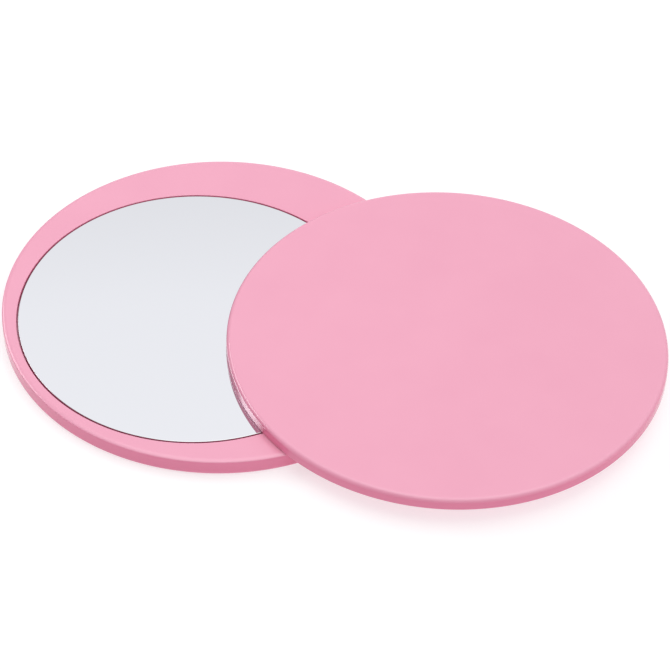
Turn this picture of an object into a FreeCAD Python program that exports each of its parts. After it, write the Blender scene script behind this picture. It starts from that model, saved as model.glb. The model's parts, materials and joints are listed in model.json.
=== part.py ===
import FreeCAD, Part
import Sketcher
import os

# Round swivel pocket mirror: a base disc that holds a round mirror, and a cover disc that swings
# over it about one upright pivot near the rim.
#
# Frame: origin at the middle of the base's underside, +Z up, +X from the base's centre to the
# cover's centre with the mirror swung open. The pivot is on the +Y side, the same distance from
# both centres.
#
# Each disc is drawn in a frame of its own: origin at the disc's centre, +X towards the pivot.

# Driving dimensions, in millimetres and degrees: alias, value, meaning.
DIMENSIONS = [
    ("disc_radius", 35.0, "radius of the base and of the cover"),
    ("base_thick", 3.0, "thickness of the base disc"),
    ("cover_thick", 2.0, "thickness of the cover disc"),
    ("disc_gap", 0.08, "running gap between the two discs"),
    ("outer_round", 0.7, "rounding of each disc's outer edge"),
    ("rim_round", 0.4, "rounding of the base's edge on the side that faces the cover"),
    ("inner_round", 0.2, "rounding of the cover's edge on the side that faces the base"),
    ("pivot_offset", 27.6, "distance from a disc's centre to the pivot"),
    ("open_angle", 85.0, "how far the cover is swung open in this pose"),
    ("mirror_radius", 28.3, "radius of the mirror glass"),
    ("mirror_thick", 0.8, "thickness of the mirror glass"),
    ("mirror_offset", 4.7, "distance from the base's centre to the mirror's, away from the pivot"),
    ("mirror_below", 0.03, "depth of the mirror's face below the rim"),
    ("mirror_gap", 0.3, "gap round the glass in its seat"),
    ("mirror_chamfer", 0.1, "ground chamfer round the glass"),
    ("tape_thick", 0.15, "thickness of the adhesive disc"),
    ("tape_radius", 27.0, "radius of the adhesive disc"),
    ("post_radius", 1.8, "radius of the pivot post on the cover"),
    ("bore_radius", 1.86, "radius of the bore in the base that the post turns in"),
    ("post_end", 1.4, "height of the post's lower end"),
    ("well_radius", 3.3, "radius of the well in the underside round the post's end"),
    ("well_top", 1.7, "height of the well's ceiling"),
    ("cap_radius", 4.2, "radius of the cap that closes the well"),
    ("cap_seat", 0.5, "depth of the cap's seat"),
    ("cap_inset", 0.05, "depth of the cap's face above the underside"),
    ("ring_outer", 3.1, "outer radius of the friction ring"),
    ("ring_inner", 1.95, "inner radius of the friction ring"),
    ("ring_thick", 0.31, "thickness of the friction ring"),
    ("ring_seat", 0.25, "depth of the friction ring's seat in the base"),
    ("ring_seat_radius", 3.2, "radius of the friction ring's seat"),
    ("washer_outer", 2.9, "outer radius of both washers"),
    ("washer_inner", 1.05, "inner radius of the flat washer"),
    ("washer_thick", 0.3, "thickness of the flat washer"),
    ("spring_inner", 1.92, "inner radius of the spring washer"),
    ("spring_thick", 0.12, "thickness of the spring washer's strip"),
    ("spring_rise", 0.28, "height of the spring washer over its bow"),
    ("screw_radius", 1.0, "radius of the screw's shank"),
    ("screw_reach", 2.9, "depth of the screw's hole above the post's end"),
    ("screw_tip", 0.1, "space left above the screw's tip"),
    ("head_radius", 1.9, "radius of the screw's head"),
    ("head_thick", 0.5, "thickness of the screw's head"),
    ("recess_width", 0.5, "width of each arm of the cross recess"),
    ("recess_span", 2.2, "length of each arm of the cross recess"),
    ("recess_depth", 0.3, "depth of the cross recess"),
    ("stop_radius", 5.4, "distance of the stop lug from the pivot"),
    ("stop_width", 1.3, "width of the groove that the stop lug runs in"),
    ("stop_depth", 0.6, "depth of the stop groove"),
    ("stop_travel", 180.0, "turn that the stops allow, from closed to fully open"),
    ("stop_play", 6.6, "extra turn at each end of the groove, for the lug's own radius and play"),
    ("lug_radius", 0.5, "radius of the stop lug under the cover"),
    ("lug_height", 0.55, "length of the stop lug"),
]

UP = FreeCAD.Vector(0, 0, 1)
SAME = 1e-6

# Expressions that several pieces share. Sines and cosines take degrees.
BASE_TURN = "90 - dims.open_angle / 2"
COVER_TURN = "90 + dims.open_angle / 2"
PIVOT_X = "dims.pivot_offset * sin(dims.open_angle / 2)"
PIVOT_Y = "dims.pivot_offset * cos(dims.open_angle / 2)"
COVER_X = "2 * dims.pivot_offset * sin(dims.open_angle / 2)"
COVER_BOTTOM = "dims.base_thick + dims.disc_gap"
TAPE_BOTTOM = "dims.base_thick - dims.mirror_below - dims.mirror_thick - dims.tape_thick"

doc = FreeCAD.newDocument("SwivelPocketMirror")


def make_sheet():
    """Spreadsheet of the driving dimensions, each cell with an alias."""
    sheet = doc.addObject("Spreadsheet::Sheet", "dims")
    for row, (alias, value, meaning) in enumerate(DIMENSIONS, start=1):
        sheet.set(f"A{row}", meaning)
        sheet.set(f"B{row}", str(value))
        sheet.setAlias(f"B{row}", alias)
    doc.recompute()
    return sheet


def number(owner, expression):
    """Present value of an expression."""
    result = owner.evalExpression(expression)
    return float(getattr(result, "Value", result))


def make_body(label):
    """Empty body named after its piece."""
    body = doc.addObject("PartDesign::Body", label)
    body.Label = label
    return body


def make_sketch(body, name, height="0", role="XY_Plane", shift="0"):
    """Sketch on one of the body's origin planes, raised by height and shifted along its own x."""
    sketch = body.newObject("Sketcher::SketchObject", name)
    plane = next(item for item in body.Origin.OriginFeatures if item.Role == role)
    sketch.AttachmentSupport = [(plane, "")]
    sketch.MapMode = "FlatFace"
    sketch.setExpression("AttachmentOffset.Base.z", height)
    sketch.setExpression("AttachmentOffset.Base.x", shift)
    return sketch


def bind(sketch, kind, *target, size):
    """Dimensional constraint whose value follows an expression."""
    index = sketch.addConstraint(Sketcher.Constraint(kind, *target, number(sketch, size)))
    sketch.setExpression(f"Constraints[{index}]", size)


def add_circle(sketch, radius, along="0", across="0"):
    """Circle with its centre at (along, across)."""
    centre = FreeCAD.Vector(number(sketch, along), number(sketch, across), 0)
    circle = sketch.addGeometry(Part.Circle(centre, UP, number(sketch, radius)))
    bind(sketch, "Radius", circle, size=radius)
    bind(sketch, "DistanceX", -1, 1, circle, 3, size=along)
    bind(sketch, "DistanceY", -1, 1, circle, 3, size=across)


def add_outline(sketch, corners):
    """Closed outline of straight sides, each corner given as a pair of expressions."""
    points = [FreeCAD.Vector(number(sketch, a), number(sketch, b), 0) for a, b in corners]
    sides = []
    for start, end in zip(points, points[1:] + points[:1]):
        sides.append(sketch.addGeometry(Part.LineSegment(start, end)))
    for side, following in zip(sides, sides[1:] + sides[:1]):
        sketch.addConstraint(Sketcher.Constraint("Coincident", side, 2, following, 1))
    for side, (along, across) in zip(sides, corners):
        bind(sketch, "DistanceX", -1, 1, side, 1, size=along)
        bind(sketch, "DistanceY", -1, 1, side, 1, size=across)


def pad(body, sketch, length, name="pad", down=False):
    """Sketch padded upwards, or downwards."""
    feature = body.newObject("PartDesign::Pad", name)
    feature.Profile = sketch
    feature.Reversed = down
    feature.setExpression("Length", length)
    doc.recompute()
    return feature


def cut_down(body, sketch, depth, name):
    """Pocket from the sketch's plane downwards; it has to remove something."""
    before = body.Shape.Volume
    feature = body.newObject("PartDesign::Pocket", name)
    feature.Profile = sketch
    feature.setExpression("Length", depth)
    doc.recompute()
    if body.Shape.Volume > before - SAME:
        raise RuntimeError(f"{body.Label}: {name} cut nothing")
    return feature


def round_hole(body, name, radius, top, depth, along="0"):
    """Round pocket about an upright axis at this distance along x."""
    sketch = make_sketch(body, f"{name}_sketch", top)
    add_circle(sketch, radius, along)
    return cut_down(body, sketch, depth, name)


def circle_edge(feature, height, radius):
    """Name of the circular edge of this radius at this height."""
    for index, edge in enumerate(feature.Shape.Edges, start=1):
        curve = edge.Curve
        if not isinstance(curve, Part.Circle):
            continue
        if abs(curve.Radius - radius) < SAME and abs(curve.Center.z - height) < SAME:
            return f"Edge{index}"
    raise RuntimeError(f"{feature.Label}: no circular edge at height {height}")


def dress_edge(body, kind, height, radius, size, name):
    """Fillet or chamfer along one circular edge of the body's last feature."""
    edge = circle_edge(body.Tip, number(body, height), number(body, radius))
    base = body.Tip
    feature = body.newObject(f"PartDesign::{kind}", name)
    feature.Base = (base, [edge])
    feature.setExpression("Radius" if kind == "Fillet" else "Size", size)
    doc.recompute()
    return feature


def place(body, along, across, height, turn="0"):
    """Body placed by expressions: its origin, then a turn about +Z in degrees."""
    spot = f"create(<<vector>>; {along}; {across}; {height})"
    twist = f"create(<<rotation>>; create(<<vector>>; 0; 0; 1); {turn})"
    body.setExpression("Placement", f"create(<<placement>>; {spot}; {twist})")


def make_disc(label, thick, outer_height, inner_height, inner_round):
    """Solid round disc with both edges rounded; inner_round is for the side facing the other disc."""
    body = make_body(label)
    sketch = make_sketch(body, "outline")
    add_circle(sketch, "dims.disc_radius")
    pad(body, sketch, thick)
    dress_edge(body, "Fillet", outer_height, "dims.disc_radius", "dims.outer_round", "outer_edge")
    dress_edge(body, "Fillet", inner_height, "dims.disc_radius", inner_round, "inner_edge")
    return body


def make_ring(label, inner, outer, thick):
    """Flat ring standing on its own origin."""
    body = make_body(label)
    sketch = make_sketch(body, "outline")
    add_circle(sketch, outer)
    add_circle(sketch, inner)
    pad(body, sketch, thick)
    return body


def make_base_shell():
    """Lower disc: the mirror's seat, the pivot's bore and well, and the stop groove."""
    body = make_disc("base_shell", "dims.base_thick", "0", "dims.base_thick", "dims.rim_round")
    seat_radius = "dims.mirror_radius + dims.mirror_gap"
    seat_depth = f"dims.base_thick - ({TAPE_BOTTOM})"
    round_hole(body, "mirror_seat", seat_radius, "dims.base_thick", seat_depth, "-dims.mirror_offset")
    pivot = "dims.pivot_offset"
    round_hole(body, "bore", "dims.bore_radius", "dims.base_thick", "dims.base_thick", pivot)
    round_hole(body, "ring_seat", "dims.ring_seat_radius", "dims.base_thick", "dims.ring_seat", pivot)
    round_hole(body, "well", "dims.well_radius", "dims.well_top", "dims.well_top", pivot)
    round_hole(body, "cap_seat", "dims.cap_radius", "dims.cap_seat", "dims.cap_seat", pivot)
    cut_stop_groove(body)
    place(body, "0", "0", "0", BASE_TURN)
    return body


def cut_stop_groove(body):
    """Part-round groove about the pivot, on the side away from the mirror."""
    sketch = make_sketch(body, "stop_sketch", role="XZ_Plane", shift="dims.pivot_offset")
    near = "dims.stop_radius - dims.stop_width / 2"
    far = "dims.stop_radius + dims.stop_width / 2"
    floor = "dims.base_thick - dims.stop_depth"
    ceiling = "dims.base_thick + dims.disc_gap"
    add_outline(sketch, [(near, floor), (far, floor), (far, ceiling), (near, ceiling)])
    before = body.Shape.Volume
    groove = body.newObject("PartDesign::Groove", "stop_groove")
    groove.Profile = sketch
    groove.ReferenceAxis = (sketch, ["V_Axis"])
    groove.Midplane = True
    groove.setExpression("Angle", "dims.stop_travel + 2 * dims.stop_play")
    doc.recompute()
    if body.Shape.Volume > before - SAME:
        raise RuntimeError("base_shell: stop_groove cut nothing")


def make_cover_shell():
    """Upper disc with the pivot post and the stop lug moulded on its inner face."""
    body = make_disc("cover_shell", "dims.cover_thick", "dims.cover_thick", "0", "dims.inner_round")
    post_length = f"{COVER_BOTTOM} - dims.post_end"
    post = make_sketch(body, "post_sketch")
    add_circle(post, "dims.post_radius", "dims.pivot_offset")
    pad(body, post, post_length, "post", down=True)
    lug = make_sketch(body, "lug_sketch")
    add_circle(lug, "dims.lug_radius", "dims.pivot_offset", "-dims.stop_radius")
    pad(body, lug, "dims.lug_height", "lug", down=True)
    hole_top = f"dims.screw_reach - ({post_length})"
    round_hole(body, "screw_hole", "dims.screw_radius", hole_top, "dims.screw_reach", "dims.pivot_offset")
    place(body, COVER_X, "0", COVER_BOTTOM, COVER_TURN)
    return body


def make_mirror_glass():
    """Round mirror glass with a ground chamfer round both faces."""
    body = make_body("mirror_glass")
    sketch = make_sketch(body, "outline")
    add_circle(sketch, "dims.mirror_radius")
    pad(body, sketch, "dims.mirror_thick")
    for face, height in (("front", "dims.mirror_thick"), ("back", "0")):
        name = f"{face}_chamfer"
        dress_edge(body, "Chamfer", height, "dims.mirror_radius", "dims.mirror_chamfer", name)
    place_behind_pivot(body, f"{TAPE_BOTTOM} + dims.tape_thick")
    return body


def make_mirror_tape():
    """Adhesive disc between the glass and its seat."""
    body = make_body("mirror_tape")
    sketch = make_sketch(body, "outline")
    add_circle(sketch, "dims.tape_radius")
    pad(body, sketch, "dims.tape_thick")
    place_behind_pivot(body, TAPE_BOTTOM)
    return body


def place_behind_pivot(body, height):
    """Body centred on the mirror's axis, which is off the base's centre, away from the pivot."""
    along = "-dims.mirror_offset * sin(dims.open_angle / 2)"
    across = "-dims.mirror_offset * cos(dims.open_angle / 2)"
    place(body, along, across, height, BASE_TURN)


def make_friction_ring():
    """Thin ring round the post, in its seat between the discs."""
    body = make_ring("friction_ring", "dims.ring_inner", "dims.ring_outer", "dims.ring_thick")
    place(body, PIVOT_X, PIVOT_Y, "dims.base_thick - dims.ring_seat")
    return body


def make_pivot_washer():
    """Flat washer between the screw's head and the post's end."""
    body = make_ring("pivot_washer", "dims.washer_inner", "dims.washer_outer", "dims.washer_thick")
    place(body, PIVOT_X, PIVOT_Y, "dims.post_end - dims.washer_thick")
    return body


def make_hollow_cylinder(name, outer, inner, length):
    """Hollow cylinder along its own z axis, made from two plain ones."""
    tube = doc.addObject("Part::Cut", name)
    for role, radius in (("Base", outer), ("Tool", inner)):
        cylinder = doc.addObject("Part::Cylinder", f"{name}_{role.lower()}")
        cylinder.setExpression("Radius", radius)
        cylinder.setExpression("Height", length)
        setattr(tube, role, cylinder)
    return tube


def make_spring_washer():
    """Ring bowed along one diameter: where an upright tube meets a thin-walled lying one."""
    sag = "(dims.spring_rise - dims.spring_thick)"
    bow = f"(dims.washer_outer ^ 2 + {sag} ^ 2) / (2 * {sag})"
    strip = make_hollow_cylinder("strip", f"{bow} + dims.spring_thick", bow, "3 * dims.washer_outer")
    lie_down = "create(<<rotation>>; create(<<vector>>; 1; 0; 0); 90)"
    spot = f"create(<<vector>>; 0; 1.5 * dims.washer_outer; {sag} - {bow})"
    strip.setExpression("Placement", f"create(<<placement>>; {spot}; {lie_down})")
    ring = make_hollow_cylinder("ring", "dims.washer_outer", "dims.spring_inner", "2 * dims.spring_rise")
    washer = doc.addObject("Part::Common", "spring_washer")
    washer.Base = strip
    washer.Tool = ring
    place(washer, PIVOT_X, PIVOT_Y, "dims.post_end")
    return washer


def make_pivot_screw():
    """Screw with a thin flat head, a cross recess and a coned tip."""
    body = make_body("pivot_screw")
    head = make_sketch(body, "head_sketch")
    add_circle(head, "dims.head_radius")
    pad(body, head, "dims.head_thick", "head")
    shank = make_sketch(body, "shank_sketch")
    add_circle(shank, "dims.screw_radius")
    length = "dims.head_thick + dims.washer_thick + dims.screw_reach - dims.screw_tip"
    pad(body, shank, length, "shank")
    dress_edge(body, "Chamfer", length, "dims.screw_radius", "dims.screw_radius / 2", "tip")
    dress_edge(body, "Fillet", "0", "dims.head_radius", "dims.head_thick / 3", "head_edge")
    arm = "dims.recess_span / 2"
    side = "dims.recess_width / 2"
    for name, along, across in (("slot_x", arm, side), ("slot_y", side, arm)):
        slot = make_sketch(body, f"{name}_sketch", "dims.recess_depth")
        low_side = [(f"-{along}", f"-{across}"), (along, f"-{across}")]
        corners = low_side + [(along, across), (f"-{along}", across)]
        add_outline(slot, corners)
        cut_down(body, slot, "dims.recess_depth", name)
    place(body, PIVOT_X, PIVOT_Y, "dims.post_end - dims.washer_thick - dims.head_thick")
    return body


def make_pivot_cap():
    """Plug that closes the well, just inside the underside."""
    body = make_body("pivot_cap")
    sketch = make_sketch(body, "outline")
    add_circle(sketch, "dims.cap_radius")
    pad(body, sketch, "dims.cap_seat - dims.cap_inset")
    dress_edge(body, "Chamfer", "0", "dims.cap_radius", "2 * dims.cap_inset", "rim")
    place(body, PIVOT_X, PIVOT_Y, "dims.cap_inset")
    return body


def check_and_export(pieces):
    """Stop on any failed object or bad solid, then write one file per piece."""
    doc.recompute()
    for item in doc.Objects:
        if "Invalid" in item.State or "Error" in item.State:
            raise RuntimeError(f"{item.Label} failed: {item.State}")
    for piece in pieces:
        if piece.Shape.isNull() or not piece.Shape.isValid() or len(piece.Shape.Solids) != 1:
            raise RuntimeError(f"{piece.Label} isn't one sound solid")
    os.makedirs("parts", exist_ok=True)
    for piece in pieces:
        piece.Shape.exportStep(f"parts/{piece.Label}.step")
        box = piece.Shape.BoundBox
        low = f"{box.XMin:.2f} {box.YMin:.2f} {box.ZMin:.2f}"
        high = f"{box.XMax:.2f} {box.YMax:.2f} {box.ZMax:.2f}"
        print(f"{piece.Label}: {piece.Shape.Volume:.2f} mm3, from {low} to {high}")


make_sheet()
check_and_export([
    make_base_shell(),
    make_mirror_tape(),
    make_mirror_glass(),
    make_pivot_cap(),
    make_friction_ring(),
    make_cover_shell(),
    make_spring_washer(),
    make_pivot_washer(),
    make_pivot_screw(),
])
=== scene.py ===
import bmesh
import bpy
import json
import math
from mathutils import Matrix, Vector


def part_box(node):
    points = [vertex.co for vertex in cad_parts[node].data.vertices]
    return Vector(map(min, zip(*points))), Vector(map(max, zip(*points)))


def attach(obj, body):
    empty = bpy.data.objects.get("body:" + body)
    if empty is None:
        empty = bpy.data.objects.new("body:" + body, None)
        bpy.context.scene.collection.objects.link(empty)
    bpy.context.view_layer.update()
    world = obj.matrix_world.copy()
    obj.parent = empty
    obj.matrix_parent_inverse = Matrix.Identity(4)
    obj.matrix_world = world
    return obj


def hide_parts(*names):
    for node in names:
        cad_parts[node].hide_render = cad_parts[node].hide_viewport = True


# Round swivel pocket mirror, swung open on a pale table. Lengths in the names below are in
# millimetres, and MM turns them into Blender's metres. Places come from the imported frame.

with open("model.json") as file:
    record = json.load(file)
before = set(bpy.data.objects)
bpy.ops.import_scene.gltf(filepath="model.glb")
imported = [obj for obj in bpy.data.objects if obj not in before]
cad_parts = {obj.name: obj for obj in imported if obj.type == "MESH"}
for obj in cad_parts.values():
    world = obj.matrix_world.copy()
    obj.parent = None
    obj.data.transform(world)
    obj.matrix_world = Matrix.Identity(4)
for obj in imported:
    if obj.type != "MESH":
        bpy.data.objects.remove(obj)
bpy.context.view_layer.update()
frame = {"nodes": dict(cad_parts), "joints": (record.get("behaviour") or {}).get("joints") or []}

MM = 0.001
ROUND_STEPS = 360        # sides of a full circle as wide as a disc
SMALL_STEPS = 96         # sides of a circle a few millimetres wide
EDGE_STEPS = 8           # sides of a quarter-round edge
CROWN_STEPS = 14         # sides of the edges seen most closely

# The view of the part at rest.
VIEW_TURN = 12.76        # degrees about +Z from looking along +Y
VIEW_RISE = 44.37        # degrees above the horizon
VIEW_ROLL = 1.91         # degrees
VIEW_DISTANCE = 417.35
VIEW_AIM = (18.92, 0.60, 0.0)
VIEW_LENS = 139.51       # millimetres on a sensor 36 wide

# Sizes of the shells that no node's box gives.
COVER_THICK = 2.0
OUTER_ROUND = 0.7        # round the cover's top and the base's underside
CROWN_WIDE = 0.8         # the base's edge facing the cover falls away gently, then turns sharply
CROWN_DEEP = 0.3
INNER_ROUND = 0.2        # the cover's edge on the side that faces the base
COVER_DRAFT = 0.06       # how far the cover's upright edge leans in, so that it leaves its mould
WITNESS = 0.02           # depth of the mould's parting line
SEAT_GAP = 0.26          # round the mirror glass
SEAT_ROUND = 0.1         # mouth of the mirror's seat
GLASS_CHAMFER = 0.1
POST_RADIUS = 1.8
BORE_RADIUS = 1.86
SCREW_RADIUS = 1.0
SCREW_TOP = 4.3          # level of the screw hole's blind end
WELL_RADIUS = 3.3
WELL_TOP = 1.7
CAP_SEAT = 0.5
RING_SEAT_RADIUS = 3.2
GROOVE_NEAR = 4.75       # radii of the stop groove about the pivot
GROOVE_FAR = 6.05
GROOVE_FLOOR = 2.4
GROOVE_HALF_TURN = 96.6  # degrees each side of the line from the base's centre
LUG_RADIUS = 0.5
LUG_LENGTH = 0.55
LUG_FROM_PIVOT = 5.4
EJECTOR_RADIUS = 1.5     # round witness marks of the mould's ejector pins
EJECTOR_DEPTH = 0.04
EJECTOR_REACH = 0.55     # the marks' distance from the middle, as a share of the disc's radius
EJECTOR_TURNS = (30, 120, 210, 300)
PARTING_ABOVE = 0.05     # the parting line's height above the lower rounding
POST_CHAMFER = 0.1
LUG_CHAMFER = 0.08
ROOT_DEPTH = 0.5         # how far the post and the lug run up into the cover
CAP_CLEARANCE = 0.03     # round the cap, in its seat
CAP_ROUND = 0.12
CUT_OVER = 1.0           # how far a cutter reaches past the face that it opens
BEVEL = ((0.02, 0.04), (0.04, 0.015), (0.07, 0.0))   # in from the glass's edge, below its face
FACE_UP = 0.999          # upward part of a face's direction: above this it is the mirror's face,
BEVEL_UP = 0.6           # above this its bevel,
BACK_DOWN = -0.9         # below this its back, and its ground edge in between
SHARP_CORNER = 35.0      # degrees; edges that turn less are shaded smooth


# ---------------------------------------------------------------- places read from the frame

def centre_and_radius(node):
    """Centre and radius, in millimetres, of a round node seen from above."""
    low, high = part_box(node)
    middle = (low + high) / 2 / MM
    return (middle.x, middle.y), (high.x - low.x) / 2 / MM


def levels(node):
    """Lowest and highest level of a node, in millimetres."""
    low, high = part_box(node)
    return low.z / MM, high.z / MM


BASE_CENTRE, DISC_RADIUS = centre_and_radius("base_shell")
COVER_CENTRE = centre_and_radius("cover_shell")[0]
PIVOT = tuple(value / MM for value in frame["joints"][0]["pos_m"][:2])
BASE_TOP = levels("base_shell")[1]
COVER_TOP = levels("cover_shell")[1]
COVER_BOTTOM = COVER_TOP - COVER_THICK


# ---------------------------------------------------------------- materials

PINK_DEEP = (0.885, 0.386, 0.528)
PINK_LIGHT = (0.902, 0.400, 0.542)
# paler outer edge: partly wear from handling, partly a painted highlight
PINK_WORN_AND_HIGHLIT = (0.906, 0.408, 0.548)
PINK_WALL_SHADE = (0.805, 0.211, 0.358)   # painted shade: upright faces get a deeper, darker pink than flat ones
PINK_ROUGHNESS = (0.10, 0.14)
PINK_IOR = 1.54
ORANGE_PEEL = 0.0002
WORN_AND_HIGHLIT_WIDTH = 1.0         # of the paler band along a disc's outer edge: wear from handling and a painted highlight


class Nodes:
    """Short way to build a node tree."""

    def __init__(self, tree):
        self.tree = tree
        tree.nodes.clear()

    def add(self, kind, values=None, **settings):
        node = self.tree.nodes.new(kind)
        for name, value in settings.items():
            setattr(node, name, value)
        for name, value in (values or {}).items():
            node.inputs[name].default_value = value
        return node

    def link(self, source, target):
        self.tree.links.new(source, target)


def new_material(name):
    """Material with its tree, its Principled shader already on the output."""
    material = bpy.data.materials.new(name)
    material.use_nodes = True
    nodes = Nodes(material.node_tree)
    shader = nodes.add("ShaderNodeBsdfPrincipled")
    output = nodes.add("ShaderNodeOutputMaterial")
    nodes.link(shader.outputs["BSDF"], output.inputs["Surface"])
    return material, nodes, shader


def noise(nodes, scale_mm, detail=2.0, roughness=0.5):
    """Noise of about this feature size, in object coordinates, from 0 to 1."""
    place = nodes.add("ShaderNodeTexCoord")
    texture = nodes.add("ShaderNodeTexNoise", {
        "Scale": 1 / (scale_mm * MM), "Detail": detail, "Roughness": roughness})
    nodes.link(place.outputs["Object"], texture.inputs["Vector"])
    return texture.outputs["Fac"]


def spread(nodes, source, low, high, from_low=0.3, from_high=0.7):
    """A value between from_low and from_high, remapped to run from low to high."""
    remap = nodes.add("ShaderNodeMapRange", {
        "From Min": from_low, "From Max": from_high, "To Min": low, "To Max": high})
    nodes.link(source, remap.inputs["Value"])
    return remap.outputs["Result"]


def mix_colours(nodes, factor, first, second):
    """Colour between first and second by factor."""
    mix = nodes.add("ShaderNodeMix", data_type="RGBA")
    mix.inputs["A"].default_value = (*first, 1)
    mix.inputs["B"].default_value = (*second, 1)
    nodes.link(factor, mix.inputs["Factor"])
    return mix.outputs["Result"]


def overlay(nodes, factor, below, colour):
    """Colour laid over what is below it, by factor."""
    mix = nodes.add("ShaderNodeMix", data_type="RGBA")
    mix.inputs["B"].default_value = (*colour, 1)
    nodes.link(factor, mix.inputs["Factor"])
    nodes.link(below, mix.inputs["A"])
    return mix.outputs["Result"]


def bump(nodes, shader, height, depth_mm):
    """Bump of this depth from a height between 0 and 1."""
    node = nodes.add("ShaderNodeBump", {"Strength": 1.0, "Distance": depth_mm * MM})
    nodes.link(height, node.inputs["Height"])
    nodes.link(node.outputs["Normal"], shader.inputs["Normal"])


def rim_wear_and_highlight(nodes, centre):
    """Mask that rises from 0 to 1 across the band along a disc's outer edge, where wear and a
    painted highlight make it paler.
    """
    place = nodes.add("ShaderNodeTexCoord")
    offset = nodes.add("ShaderNodeVectorMath", operation="SUBTRACT")
    offset.inputs[1].default_value = (centre[0] * MM, centre[1] * MM, 0)
    flatten = nodes.add("ShaderNodeVectorMath", operation="MULTIPLY")
    flatten.inputs[1].default_value = (1, 1, 0)
    length = nodes.add("ShaderNodeVectorMath", operation="LENGTH")
    nodes.link(place.outputs["Object"], offset.inputs[0])
    nodes.link(offset.outputs["Vector"], flatten.inputs[0])
    nodes.link(flatten.outputs["Vector"], length.inputs[0])
    start = (DISC_RADIUS - WORN_AND_HIGHLIT_WIDTH) * MM
    return spread(nodes, length.outputs["Value"], 0.0, 1.0, start, DISC_RADIUS * MM)


def upright(nodes):
    """Mask that is 1 on upright faces and falls to 0 as a face turns to lie flat."""
    flattest, steepest = 0.9, 0.1
    place = nodes.add("ShaderNodeTexCoord")
    split = nodes.add("ShaderNodeSeparateXYZ")
    nodes.link(place.outputs["Normal"], split.inputs["Vector"])
    level = nodes.add("ShaderNodeMath", operation="ABSOLUTE")
    nodes.link(split.outputs["Z"], level.inputs[0])
    return spread(nodes, level.outputs["Value"], 1.0, 0.0, steepest, flattest)


def pink_plastic(name, centre):
    """Glossy moulded ABS: faintly cloudy colour, painted shade that makes upright faces a deeper
    pink, uneven polish, a very fine orange peel and a paler band along the outer edge that is partly
    wear from handling and partly a painted highlight."""
    material, nodes, shader = new_material(name)
    cloud = spread(nodes, noise(nodes, 11.0), 0.0, 1.0)
    body = mix_colours(nodes, cloud, PINK_DEEP, PINK_LIGHT)
    # paler band along the outer edge: wear from handling and a painted highlight
    worn_and_highlit = overlay(nodes, rim_wear_and_highlight(nodes, centre), body, PINK_WORN_AND_HIGHLIT)
    # painted shade: upright faces get a deeper, darker pink
    painted_wall_shade = overlay(nodes, upright(nodes), worn_and_highlit, PINK_WALL_SHADE)
    nodes.link(painted_wall_shade, shader.inputs["Base Color"])
    polish = spread(nodes, noise(nodes, 4.0, detail=5.0, roughness=0.6), *PINK_ROUGHNESS)
    nodes.link(polish, shader.inputs["Roughness"])
    bump(nodes, shader, noise(nodes, 1.1, detail=1.0), ORANGE_PEEL)
    shader.inputs["IOR"].default_value = PINK_IOR
    return material


def mirror_silver():
    """Silvered face of the glass, nearly perfect, with the faintest uneven wipe marks."""
    material, nodes, shader = new_material("mirror_silver")
    shader.inputs["Base Color"].default_value = (0.895, 0.905, 0.955, 1)
    shader.inputs["Metallic"].default_value = 1.0
    wipe = spread(nodes, noise(nodes, 7.0, detail=4.0), 0.004, 0.016)
    nodes.link(wipe, shader.inputs["Roughness"])
    return material


def ground_edge_painted_shade():
    """Edge of the glass: ground matt, coloured dark pink as painted shade of the narrow gap round it
    and a painted reflection of the pink seat.
    """
    material, nodes, shader = new_material("ground_edge_painted_shade")
    tint = spread(nodes, noise(nodes, 0.4, detail=3.0), 0.0, 1.0)
    # painted shade of the gap and painted reflection of the pink seat
    colour = mix_colours(nodes, tint, (0.340, 0.090, 0.160), (0.440, 0.130, 0.210))
    nodes.link(colour, shader.inputs["Base Color"])
    grind = spread(nodes, noise(nodes, 0.15), 0.35, 0.6)
    nodes.link(grind, shader.inputs["Roughness"])
    shader.inputs["Specular IOR Level"].default_value = 0.1
    bump(nodes, shader, noise(nodes, 0.12, detail=2.0), 0.004)
    return material


def polished_bevel():
    """Fine polished bevel round the face of the glass, with the silver showing through it."""
    material, nodes, shader = new_material("polished_bevel")
    shader.inputs["Metallic"].default_value = 1.0
    tone = spread(nodes, noise(nodes, 3.0, detail=3.0), 0.0, 1.0)
    colour = mix_colours(nodes, tone, (0.74, 0.76, 0.77), (0.82, 0.84, 0.85))
    nodes.link(colour, shader.inputs["Base Color"])
    polish = spread(nodes, noise(nodes, 0.3), 0.05, 0.12)
    nodes.link(polish, shader.inputs["Roughness"])
    return material


def mirror_paint():
    """Grey protective paint on the back of the glass."""
    material, nodes, shader = new_material("mirror_paint")
    tone = spread(nodes, noise(nodes, 2.0, detail=4.0), 0.0, 1.0)
    colour = mix_colours(nodes, tone, (0.13, 0.14, 0.15), (0.19, 0.20, 0.21))
    nodes.link(colour, shader.inputs["Base Color"])
    shader.inputs["Roughness"].default_value = 0.55
    bump(nodes, shader, noise(nodes, 0.8, detail=3.0), 0.01)
    return material


def foam_tape():
    """White double-sided foam tape: open-celled, matt."""
    material, nodes, shader = new_material("foam_tape")
    cells = nodes.add("ShaderNodeTexVoronoi", {"Scale": 1 / (0.18 * MM)})
    place = nodes.add("ShaderNodeTexCoord")
    nodes.link(place.outputs["Object"], cells.inputs["Vector"])
    shade = spread(nodes, cells.outputs["Distance"], 0.0, 1.0, 0.0, 0.8)
    colour = mix_colours(nodes, shade, (0.62, 0.61, 0.58), (0.84, 0.83, 0.80))
    nodes.link(colour, shader.inputs["Base Color"])
    shader.inputs["Roughness"].default_value = 0.85
    bump(nodes, shader, cells.outputs["Distance"], 0.02)
    return material


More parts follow.
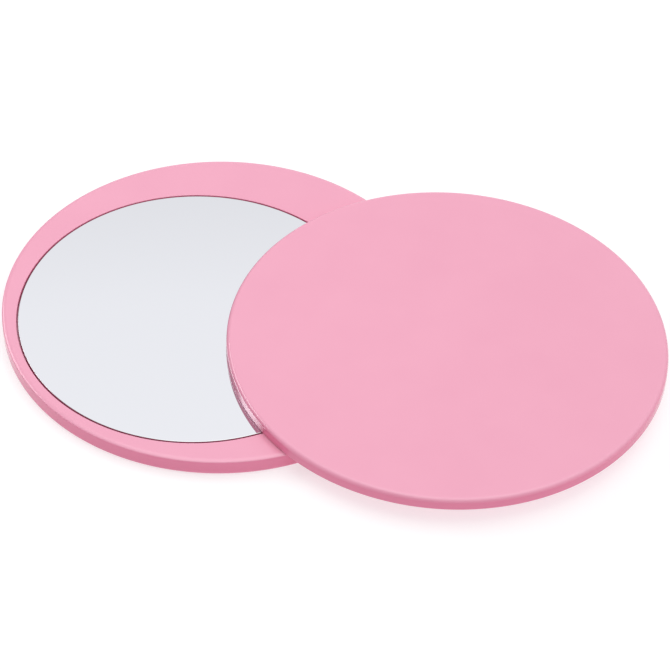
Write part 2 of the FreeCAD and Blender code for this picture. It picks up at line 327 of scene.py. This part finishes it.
def nylon():
    """Natural nylon: milky, soft, slightly uneven."""
    material, nodes, shader = new_material("nylon")
    tone = spread(nodes, noise(nodes, 1.0, detail=3.0), 0.0, 1.0)
    colour = mix_colours(nodes, tone, (0.72, 0.71, 0.66), (0.80, 0.79, 0.75))
    nodes.link(colour, shader.inputs["Base Color"])
    shader.inputs["Roughness"].default_value = 0.45
    shader.inputs["Subsurface Weight"].default_value = 0.2
    shader.inputs["Subsurface Radius"].default_value = (0.001, 0.001, 0.001)
    return material


def metal(name, dark, light, smooth, rough, grain_mm):
    """Plated or rolled steel: fine grain and small changes of polish."""
    material, nodes, shader = new_material(name)
    tone = spread(nodes, noise(nodes, 0.8, detail=4.0), 0.0, 1.0)
    nodes.link(mix_colours(nodes, tone, dark, light), shader.inputs["Base Color"])
    shader.inputs["Metallic"].default_value = 1.0
    grain = noise(nodes, grain_mm, detail=3.0)
    nodes.link(spread(nodes, grain, smooth, rough), shader.inputs["Roughness"])
    bump(nodes, shader, grain, 0.003)
    return material


# ---------------------------------------------------------------- meshes

def add_object(name, data):
    """New object in the scene."""
    thing = bpy.data.objects.new(name, data)
    bpy.context.scene.collection.objects.link(thing)
    return thing


def quarter(centre_r, centre_z, radius, start, end, steps=EDGE_STEPS):
    """Points of an arc in the (radius, level) plane, from start to end in degrees."""
    points = []
    for step in range(steps + 1):
        angle = math.radians(start + (end - start) * step / steps)
        points.append((centre_r + radius * math.cos(angle), centre_z + radius * math.sin(angle)))
    return points


def lathe(name, outline, centre, steps=ROUND_STEPS):
    """Closed solid of revolution about an upright axis. The outline runs from the lower end face
    to the upper one, and the two ends are flat caps."""
    mesh = bpy.data.meshes.new(name)
    build = bmesh.new()
    rings = []
    for radius, level in outline:
        ring = []
        for step in range(steps):
            angle = 2 * math.pi * step / steps
            x = centre[0] + radius * math.cos(angle)
            y = centre[1] + radius * math.sin(angle)
            ring.append(build.verts.new(Vector((x, y, level)) * MM))
        rings.append(ring)
    for lower, upper in zip(rings, rings[1:]):
        for step in range(steps):
            after = (step + 1) % steps
            build.faces.new((lower[step], lower[after], upper[after], upper[step]))
    build.faces.new(list(reversed(rings[0])))
    build.faces.new(rings[-1])
    build.to_mesh(mesh)
    build.free()
    return add_object(name, mesh)


def arc_block(name, near, far, floor, ceiling, centre, middle, half_turn):
    """Part of a flat ring about an upright axis: a cutter for the stop groove."""
    build = bmesh.new()
    sections = []
    for step in range(SMALL_STEPS + 1):
        angle = math.radians(middle - half_turn + 2 * half_turn * step / SMALL_STEPS)
        section = []
        for radius, level in ((near, floor), (far, floor), (far, ceiling), (near, ceiling)):
            x = centre[0] + radius * math.cos(angle)
            y = centre[1] + radius * math.sin(angle)
            section.append(build.verts.new(Vector((x, y, level)) * MM))
        sections.append(section)
    for first, second in zip(sections, sections[1:]):
        for corner in range(4):
            after = (corner + 1) % 4
            build.faces.new((first[corner], first[after], second[after], second[corner]))
    build.faces.new(list(reversed(sections[0])))
    build.faces.new(sections[-1])
    bmesh.ops.recalc_face_normals(build, faces=build.faces)
    mesh = bpy.data.meshes.new(name)
    build.to_mesh(mesh)
    build.free()
    return add_object(name, mesh)


def combine(piece, operation, *others):
    """Joins the others to the piece or cuts them out of it, and deletes them."""
    for other in others:
        step = piece.modifiers.new("step", "BOOLEAN")
        step.operation = operation
        step.solver = "EXACT"
        step.object = other
        shaped = piece.evaluated_get(bpy.context.evaluated_depsgraph_get())
        mesh = bpy.data.meshes.new_from_object(shaped)
        piece.modifiers.clear()
        piece.data = mesh
        bpy.data.objects.remove(other)


def smooth(piece):
    """Smooth shading with true normals on the flats, and crisp edges where faces really turn."""
    build = bmesh.new()
    build.from_mesh(piece.data)
    bmesh.ops.remove_doubles(build, verts=build.verts, dist=0.0005 * MM)
    for face in build.faces:
        face.smooth = True
    for edge in build.edges:
        edge.smooth = edge.calc_face_angle(0.0) < math.radians(SHARP_CORNER)
    build.to_mesh(piece.data)
    build.free()
    weighted = piece.modifiers.new("true_normals", "WEIGHTED_NORMAL")
    weighted.keep_sharp = True
    weighted.weight = 50


def finish_piece(piece, name, body, slot, materials, *nodes):
    """Names, shades and paints a piece, puts it on its body and hides the nodes that it stands for.
    """
    piece.name = name
    piece.data.name = name
    piece.data.materials.clear()
    for material in materials:
        piece.data.materials.append(material)
    smooth(piece)
    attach(piece, body)
    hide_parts(*nodes)


def disc(name, centre, bottom, top, low_round, high_round, parting, draft=0.0):
    """Plain disc with rounded edges and the fine groove of the mould's parting line between them.
    The upper edge is a quarter of an ellipse: high_round is its width and its depth. The upright
    edge leans in by draft from the parting line to the upper edge."""
    wide, deep = high_round
    shoulder = DISC_RADIUS - draft
    outline = quarter(DISC_RADIUS - low_round, bottom + low_round, low_round, -90, 0)
    outline.append((DISC_RADIUS, parting - WITNESS))
    outline.append((DISC_RADIUS - WITNESS, parting))
    outline.append((DISC_RADIUS, parting + WITNESS))
    for radius, level in quarter(0, 0, 1.0, 0, 90, CROWN_STEPS):
        outline.append((shoulder - wide + radius * wide, top - deep + level * deep))
    return lathe(name, outline, centre)


def hole(name, radius, bottom, top, centre, steps=SMALL_STEPS, mouth=0.0):
    """Cutter for a round hole; mouth rounds its upper rim, which lies at the level top."""
    if mouth == 0.0:
        return lathe(name, [(radius, bottom), (radius, top)], centre, steps)
    flare = quarter(radius + mouth, top - mouth, mouth, 180, 100, 4)
    outline = [(radius, bottom)] + flare + [(radius + mouth, top + CUT_OVER)]
    return lathe(name, outline, centre, steps)


def stub(name, radius, chamfer, low, high, centre):
    """Round stub that hangs down, with a chamfered lower end."""
    outline = [(radius - chamfer, low), (radius, low + chamfer), (radius, high)]
    return lathe(name, outline, centre, SMALL_STEPS)


def beside(centre, distance, angle):
    """Point at this distance and angle from a centre."""
    return (centre[0] + distance * math.cos(angle), centre[1] + distance * math.sin(angle))


def make_base_disc():
    """Base disc with the mirror's seat, the pivot's bore and well, and the stop groove."""
    under = -CUT_OVER
    over = BASE_TOP + CUT_OVER
    piece = disc("base_disc", BASE_CENTRE, 0.0, BASE_TOP, OUTER_ROUND, (CROWN_WIDE, CROWN_DEEP),
                 OUTER_ROUND + PARTING_ABOVE)
    seat_floor = levels("mirror_tape")[0]
    seat_radius = MIRROR_RADIUS + SEAT_GAP
    seat = hole("seat", seat_radius, seat_floor, BASE_TOP, MIRROR_CENTRE, ROUND_STEPS, SEAT_ROUND)
    ring_floor = levels("friction_ring")[0]
    ring = hole("ring_cut", RING_SEAT_RADIUS, ring_floor, BASE_TOP, PIVOT, SMALL_STEPS, SEAT_ROUND)
    bore = hole("bore", BORE_RADIUS, under, over, PIVOT)
    well = hole("well", WELL_RADIUS, under, WELL_TOP, PIVOT)
    cap_radius = centre_and_radius("pivot_cap")[1]
    mouth = hole("cap_cut", cap_radius + CAP_CLEARANCE, under, CAP_SEAT, PIVOT)
    outward = math.degrees(math.atan2(PIVOT[1] - BASE_CENTRE[1], PIVOT[0] - BASE_CENTRE[0]))
    groove = arc_block("groove", GROOVE_NEAR, GROOVE_FAR, GROOVE_FLOOR, over, PIVOT, outward,
                       GROOVE_HALF_TURN)
    combine(piece, "DIFFERENCE", seat, ring, bore, well, mouth, groove)
    finish_piece(piece, "base_disc", "base", "pink_plastic", [BASE_PINK], "base_shell")


def make_cover_disc():
    """Cover disc, plain outside, with pivot post, stop lug and mould marks on its inner face."""
    piece = disc("cover_disc", COVER_CENTRE, COVER_BOTTOM, COVER_TOP, INNER_ROUND,
                 (OUTER_ROUND, OUTER_ROUND), COVER_BOTTOM + INNER_ROUND + PARTING_ABOVE, COVER_DRAFT)
    root = COVER_BOTTOM + ROOT_DEPTH
    post_end = levels("pivot_washer")[1]
    post = stub("post", POST_RADIUS, POST_CHAMFER, post_end, root, PIVOT)
    inward = math.atan2(COVER_CENTRE[1] - PIVOT[1], COVER_CENTRE[0] - PIVOT[0])
    lug_spot = beside(PIVOT, LUG_FROM_PIVOT, inward + math.pi / 2)
    lug = stub("lug", LUG_RADIUS, LUG_CHAMFER, COVER_BOTTOM - LUG_LENGTH, root, lug_spot)
    combine(piece, "UNION", post, lug)
    marks = [hole("screw_hole", SCREW_RADIUS, post_end - CUT_OVER, SCREW_TOP, PIVOT)]
    for turn in EJECTOR_TURNS:
        spot = beside(COVER_CENTRE, DISC_RADIUS * EJECTOR_REACH, inward + math.radians(turn))
        marks.append(hole("mark", EJECTOR_RADIUS, COVER_BOTTOM - CUT_OVER,
                          COVER_BOTTOM + EJECTOR_DEPTH, spot))
    combine(piece, "DIFFERENCE", *marks)
    finish_piece(piece, "cover_disc", "cover", "pink_plastic", [COVER_PINK], "cover_shell")


def make_mirror():
    """Mirror glass: silvered face, fine polished bevel, ground edge and painted back."""
    low, high = levels("mirror_glass")
    outline = [(MIRROR_RADIUS - GLASS_CHAMFER, low), (MIRROR_RADIUS, low + GLASS_CHAMFER),
               (MIRROR_RADIUS, high - GLASS_CHAMFER)]
    outline += [(MIRROR_RADIUS - inward, high - below) for inward, below in BEVEL]
    piece = lathe("mirror", outline, MIRROR_CENTRE)
    materials = [mirror_silver(), ground_edge_painted_shade(), mirror_paint(), polished_bevel()]
    finish_piece(piece, "mirror", "base", "silvered_glass", materials, "mirror_glass")
    for face in piece.data.polygons:
        if face.normal.z > FACE_UP:
            face.material_index = 0
        elif face.normal.z > BEVEL_UP:
            face.material_index = 3
        else:
            face.material_index = 2 if face.normal.z < BACK_DOWN else 1


def make_cap():
    """Thin plug that closes the pivot's well in the underside, rounded at its rim."""
    low, high = levels("pivot_cap")
    centre, radius = centre_and_radius("pivot_cap")
    outline = quarter(radius - CAP_ROUND, low + CAP_ROUND, CAP_ROUND, -90, 0, 4)
    outline.append((radius, high))
    piece = lathe("cap", outline, centre, SMALL_STEPS * 2)
    finish_piece(piece, "cap", "base", "pink_plastic", [BASE_PINK], "pivot_cap")


def dress(node, material):
    """CAD node shown as it is, with this material."""
    piece = frame["nodes"][node]
    piece.data.materials.clear()
    piece.data.materials.append(material)


MIRROR_CENTRE, MIRROR_RADIUS = centre_and_radius("mirror_glass")
BASE_PINK = pink_plastic("pink_plastic_base", BASE_CENTRE)
COVER_PINK = pink_plastic("pink_plastic_cover", COVER_CENTRE)

make_base_disc()
make_cover_disc()
make_mirror()
make_cap()
dress("mirror_tape", foam_tape())
dress("friction_ring", nylon())
spring = metal("spring_steel", (0.30, 0.31, 0.33), (0.40, 0.41, 0.43), 0.30, 0.45, 0.2)
zinc = metal("zinc_plate", (0.62, 0.64, 0.67), (0.74, 0.76, 0.78), 0.16, 0.28, 0.3)
dress("spring_washer", spring)
dress("pivot_washer", zinc)
dress("pivot_screw", zinc)


# ---------------------------------------------------------------- studio

# Brightness of the surround at heights from level (0) to straight up (1).
SKY_BY_HEIGHT = ((0.0, 0.22), (0.3, 0.65), (0.64, 0.78), (0.69, 0.91), (0.75, 0.94), (0.86, 1.4),
                 (1.0, 1.5))
SKY_IN_FRONT = 0.95      # how much of that is left in front of the part
SKY_AT_LEFT = 0.4        # and to the left of the white screen behind the part
FRONT_FADE = (-0.9, 0.3)     # where the first change runs, from in front (-1) to behind (1)
SCREEN_END = (0.15, 0.28)    # where the second runs, from the middle (0) to the left (1)
TABLE_GREY = 0.50
TABLE_GLOW = 0.56        # the table top's own light, so that it looks nearly white
TABLE_DROP = 0.02        # how far its top lies under the part, in millimetres
TABLE_REACH = 3.0        # metres
# Elliptical softboxes: degrees to the left of straight behind the part, degrees up, then
# distance, width and height in metres, and radiance.
OVERHEAD = ("overhead", 15.0, 84.0, 0.62, 0.62, 0.62, 0.62)
KEY = ("key", 63.0, 34.0, 0.70, 0.56, 0.245, 3.4)


def make_floor():
    """Pale table top with some light of its own, large enough to fill every view."""
    mesh = bpy.data.meshes.new("table_top")
    level = -TABLE_DROP * MM
    corners = [(x * TABLE_REACH, y * TABLE_REACH, level)
               for x, y in ((-1, -1), (1, -1), (1, 1), (-1, 1))]
    mesh.from_pydata(corners, [], [(0, 1, 2, 3)])
    floor = add_object("table_top", mesh)
    material, nodes, shader = new_material("table_white")
    shader.inputs["Base Color"].default_value = (TABLE_GREY, TABLE_GREY, TABLE_GREY, 1)
    shader.inputs["Emission Color"].default_value = (1, 1, 1, 1)
    shader.inputs["Emission Strength"].default_value = TABLE_GLOW
    shader.inputs["Roughness"].default_value = 0.9
    shader.inputs["Specular IOR Level"].default_value = 0.1
    mesh.materials.append(material)


def along(nodes, place, way):
    """How nearly each direction of the surround points this way, from -1 to 1."""
    node = nodes.add("ShaderNodeVectorMath", operation="DOT_PRODUCT")
    node.inputs[1].default_value = way
    nodes.link(place.outputs["Generated"], node.inputs[0])
    return node.outputs["Value"]


def product(nodes, first, second):
    """One value times another."""
    node = nodes.add("ShaderNodeMath", operation="MULTIPLY")
    nodes.link(first, node.inputs[0])
    nodes.link(second, node.inputs[1])
    return node.outputs["Value"]


def make_sky():
    """Studio surround: a white screen behind and over the part, dimmer in front and to the left."""
    world = bpy.data.worlds.new("studio")
    bpy.context.scene.world = world
    world.use_nodes = True
    nodes = Nodes(world.node_tree)
    place = nodes.add("ShaderNodeTexCoord")
    split = nodes.add("ShaderNodeSeparateXYZ")
    nodes.link(place.outputs["Generated"], split.inputs["Vector"])
    rise = nodes.add("ShaderNodeValToRGB")
    elements = rise.color_ramp.elements
    while len(elements) < len(SKY_BY_HEIGHT):
        elements.new(0.5)
    for element, (height, level) in zip(elements, SKY_BY_HEIGHT):
        element.position = height
        element.color = (level, level, level, 1)
    nodes.link(split.outputs["Z"], rise.inputs["Fac"])
    away = (-math.sin(math.radians(VIEW_TURN)), math.cos(math.radians(VIEW_TURN)), 0)
    leftward = (-away[1], away[0], 0)
    front = spread(nodes, along(nodes, place, away), SKY_IN_FRONT, 1.0, *FRONT_FADE)
    screen = spread(nodes, along(nodes, place, leftward), 1.0, SKY_AT_LEFT, *SCREEN_END)
    brightness = product(nodes, rise.outputs["Color"], product(nodes, front, screen))
    background = nodes.add("ShaderNodeBackground", {"Color": (1, 1, 1, 1)})
    nodes.link(brightness, background.inputs["Strength"])
    output = nodes.add("ShaderNodeOutputWorld")
    nodes.link(background.outputs["Background"], output.inputs["Surface"])


def make_softbox(name, left, rise, distance, width, height, radiance):
    """Elliptical softbox that faces the part."""
    data = bpy.data.lights.new(name, "AREA")
    data.shape = "ELLIPSE"
    data.size = width
    data.size_y = height
    area = math.pi / 4 * width * height
    data.energy = radiance * math.pi * area
    box = add_object(name, data)
    bearing = math.radians(90 + VIEW_TURN + left)
    up = math.radians(rise)
    way = Vector((math.cos(bearing) * math.cos(up), math.sin(bearing) * math.cos(up), math.sin(up)))
    box.location = Vector(VIEW_AIM) * MM + way * distance
    box.rotation_euler = way.to_track_quat("Z", "Y").to_euler()


def make_camera():
    """Camera at the view of the part at rest."""
    data = bpy.data.cameras.new("camera")
    data.lens = VIEW_LENS
    data.sensor_width = 36.0
    data.clip_start = 0.01
    data.clip_end = 20.0
    camera = add_object("camera", data)
    turn = Matrix.Rotation(math.radians(VIEW_TURN), 4, "Z")
    tilt = Matrix.Rotation(math.radians(90 - VIEW_RISE), 4, "X")
    roll = Matrix.Rotation(math.radians(VIEW_ROLL), 4, "Z")
    facing = turn @ tilt @ roll
    back = facing @ Vector((0, 0, 1))
    spot = Vector(VIEW_AIM) * MM + back * VIEW_DISTANCE * MM
    camera.matrix_world = Matrix.Translation(spot) @ facing
    bpy.context.scene.camera = camera


make_floor()
make_sky()
make_softbox(*OVERHEAD)
make_softbox(*KEY)
make_camera()
bpy.context.scene.view_settings.view_transform = "Standard"
